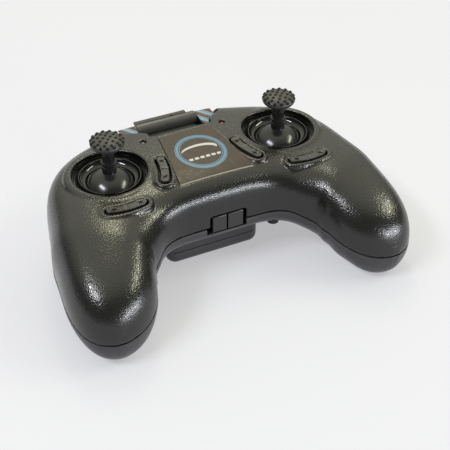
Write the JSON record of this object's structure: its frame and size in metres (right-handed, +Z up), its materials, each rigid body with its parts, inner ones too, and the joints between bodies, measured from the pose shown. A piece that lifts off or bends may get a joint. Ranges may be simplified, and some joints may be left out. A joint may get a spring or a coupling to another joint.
{
  "type": "radio transmitter controller",
  "caption": "two-handed radio transmitter for models, with twin sprung sticks, trim rockers, shoulder buttons, a folding phone rest and a battery box",
  "frame": {"origin": "middle of the footprint, on the surface that the battery box stands on", "axes": "+X to the user's right, +Y away from the user, +Z up"},
  "size_m": [0.1536, 0.106, 0.0625],
  "materials": {
    "upper_housing": "fine leather-grain moulded plastic",
    "lower_housing": "smooth satin moulded plastic",
    "label": "glossy printed sheet with a woven carbon pattern",
    "steel": "plated steel",
    "board": "glass-fibre board with green mask",
    "component": "black moulded components",
    "wire": "insulated wire",
    "clear_lens": "clear lens",
    "red_lens": "red lens",
    "black_plastic": "smooth black plastic",
    "grey_plastic": "smooth grey plastic",
    "cell": "printed sleeve on a metal can",
    "gloss_bezel": "polished black plastic",
    "stick": "polished black plastic",
    "cap": "satin dark grey plastic",
    "stud": "black rubbery grip studs",
    "gimbal": "plain grey plastic",
    "key_plastic": "smooth satin black plastic"
  },
  "bodies": {
    "housing": {"antenna": "wire", "battery_cell_left": "cell", "battery_cell_middle": "cell", "battery_cell_right": "cell", "battery_plates": "steel", "battery_springs": "steel", "board_components": "component", "board_screws": "steel", "bottom_shell": "lower_housing", "buzzer": "component", "housing_screws": "steel", "key_switches": "component", "label_plate": "label", "left_base_potentiometer": "component", "left_bezel": "gloss_bezel", "left_gimbal_base": "gimbal", "left_status_led": "clear_lens", "left_wing_plate": "label", "main_board": "board", "phone_rest_pin": "steel", "right_base_potentiometer": "component", "right_bezel": "gloss_bezel", "right_gimbal_base": "gimbal", "right_status_led": "red_lens", "right_wing_plate": "label", "shoulder_boards": "board", "shoulder_switches": "component", "top_shell": "upper_housing", "trim_boards": "board", "trim_switches": "component"},
    "left_gimbal": {"left_gimbal_yoke": "gimbal", "left_yoke_potentiometer": "component"},
    "right_gimbal": {"right_gimbal_yoke": "gimbal", "right_yoke_potentiometer": "component"},
    "left_stick": {"left_stick": "stick", "left_stick_cap": "cap", "left_cap_studs": "stud"},
    "right_stick": {"right_stick": "stick", "right_stick_cap": "cap", "right_cap_studs": "stud"},
    "left_vertical_trim": {"left_vertical_trim": "key_plastic"},
    "right_vertical_trim": {"right_vertical_trim": "key_plastic"},
    "left_horizontal_trim": {"left_horizontal_trim": "key_plastic"},
    "right_horizontal_trim": {"right_horizontal_trim": "key_plastic"},
    "left_front_key": {"left_front_key": "key_plastic"},
    "right_front_key": {"right_front_key": "key_plastic"},
    "left_shoulder_button": {"left_shoulder_button": "key_plastic"},
    "right_shoulder_button": {"right_shoulder_button": "key_plastic"},
    "phone_rest": {"phone_rest": "black_plastic", "phone_rest_lip": "grey_plastic"},
    "battery_cover": {"battery_cover": "lower_housing", "battery_cover_screw": "steel"}
  },
  "joints": [
    {"name": "left_stick_fore_aft", "type": "hinge", "parent": "housing", "child": "left_gimbal", "pos_m": [-0.04, 0.015, 0.0335], "axis": [1, 0, 0], "range_deg": [-22, 22], "stiffness_Nm_per_rad": 0.02},
    {"name": "left_stick_sideways", "type": "hinge", "parent": "left_gimbal", "child": "left_stick", "pos_m": [-0.04, 0.015, 0.0335], "axis": [0, 1, 0], "range_deg": [-22, 22], "stiffness_Nm_per_rad": 0.02},
    {"name": "right_stick_fore_aft", "type": "hinge", "parent": "housing", "child": "right_gimbal", "pos_m": [0.04, 0.015, 0.0335], "axis": [1, 0, 0], "range_deg": [-22, 22], "stiffness_Nm_per_rad": 0.02},
    {"name": "right_stick_sideways", "type": "hinge", "parent": "right_gimbal", "child": "right_stick", "pos_m": [0.04, 0.015, 0.0335], "axis": [0, 1, 0], "range_deg": [-22, 22], "stiffness_Nm_per_rad": 0.02},
    {"name": "left_vertical_trim_rock", "type": "hinge", "parent": "housing", "child": "left_vertical_trim", "pos_m": [-0.01894, 0.00538, 0.0441], "axis": [0.9641, -0.2656, 0], "range_deg": [-4, 4], "stiffness_Nm_per_rad": 0.05},
    {"name": "left_horizontal_trim_rock", "type": "hinge", "parent": "housing", "child": "left_horizontal_trim", "pos_m": [-0.0418, -0.0105, 0.0423], "axis": [0, -1, 0], "range_deg": [-4, 4], "stiffness_Nm_per_rad": 0.05},
    {"name": "right_vertical_trim_rock", "type": "hinge", "parent": "housing", "child": "right_vertical_trim", "pos_m": [0.01894, 0.00538, 0.0441], "axis": [-0.9641, -0.2656, 0], "range_deg": [-4, 4], "stiffness_Nm_per_rad": 0.05},
    {"name": "right_horizontal_trim_rock", "type": "hinge", "parent": "housing", "child": "right_horizontal_trim", "pos_m": [0.0418, -0.0105, 0.0423], "axis": [0, -1, 0], "range_deg": [-4, 4], "stiffness_Nm_per_rad": 0.05},
    {"name": "left_front_key_press", "type": "hinge", "parent": "housing", "child": "left_front_key", "pos_m": [-0.0023, -0.013, 0.0286], "axis": [1, 0, 0], "range_deg": [0, 6], "stiffness_Nm_per_rad": 0.05},
    {"name": "right_front_key_press", "type": "hinge", "parent": "housing", "child": "right_front_key", "pos_m": [0.00515, -0.013, 0.0286], "axis": [1, 0, 0], "range_deg": [0, 6], "stiffness_Nm_per_rad": 0.05},
    {"name": "left_shoulder_button_press", "type": "slide", "parent": "housing", "child": "left_shoulder_button", "axis": [0.4003, -0.9164, 0], "range_m": [0, 0.0008], "stiffness_N_per_m": 600},
    {"name": "right_shoulder_button_press", "type": "slide", "parent": "housing", "child": "right_shoulder_button", "axis": [-0.4003, -0.9164, 0], "range_m": [0, 0.0008], "stiffness_N_per_m": 600},
    {"name": "phone_rest_fold", "type": "hinge", "parent": "housing", "child": "phone_rest", "pos_m": [0, 0.0495, 0.0376], "axis": [-1, 0, 0], "range_deg": [0, 100]},
    {"name": "battery_cover_lift_off", "type": "slide", "parent": "housing", "child": "battery_cover", "axis": [0, 0, -1], "range_m": [0, 0.025]}
  ]
}
